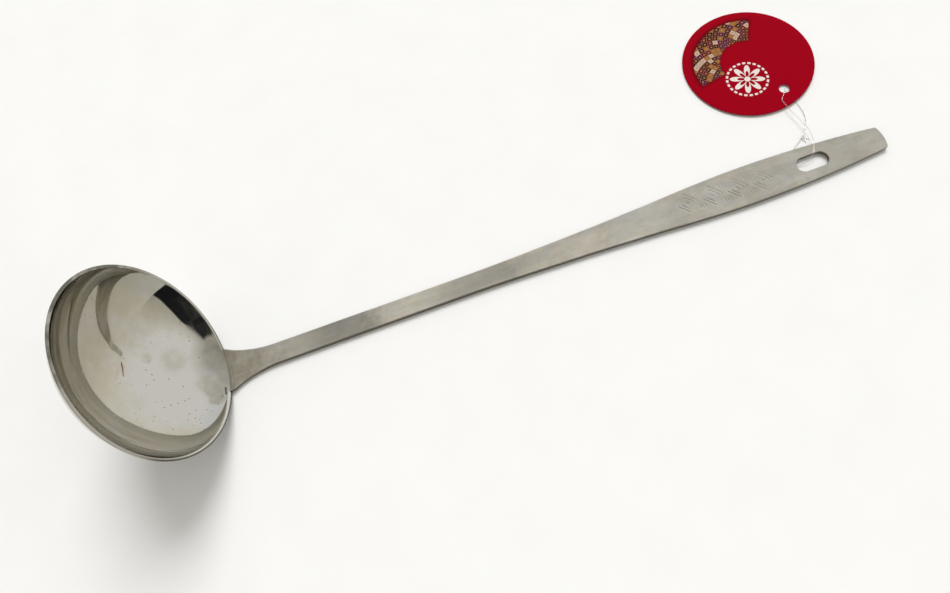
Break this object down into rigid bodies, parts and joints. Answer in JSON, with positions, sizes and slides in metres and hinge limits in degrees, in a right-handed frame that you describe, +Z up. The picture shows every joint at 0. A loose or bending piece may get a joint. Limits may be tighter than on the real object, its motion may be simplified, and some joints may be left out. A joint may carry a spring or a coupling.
{
  "type": "soup ladle",
  "caption": "Steel soup ladle with a shallow round bowl, a long flat handle with a hanging slot, and a round red card tied to the slot by a clear thread.",
  "frame": {"origin": "on the table, under the middle of the ladle's own box, without the card, thread and knot", "axes": "the ladle lies on its handle: +X runs along the handle to its tip, +Z is up, +Y is across, on the card's side"},
  "size_m": [0.3466, 0.1316, 0.0782],
  "materials": {
    "bowl_steel": "polished like a mirror, with dull ground patches near the neck",
    "weld_steel": "ground flush, matte",
    "handle_steel": "satin, brushed lengthwise",
    "tag_card": "printed card, semi-gloss",
    "clear_nylon": "clear"
  },
  "bodies": {
    "ladle": {"bowl": "bowl_steel", "neck_weld": "weld_steel", "handle": "handle_steel", "tag_thread": "clear_nylon", "thread_knot": "clear_nylon"},
    "tag": {"hang_tag": "tag_card"}
  },
  "joints": [
    {"name": "tag_swivel", "type": "hinge", "parent": "ladle", "child": "tag", "pos_m": [0.14741, 0.0398, 0.0007], "axis": [-0.0051, 0.0125, 0.9999], "range_deg": [-118, 66]}
  ]
}
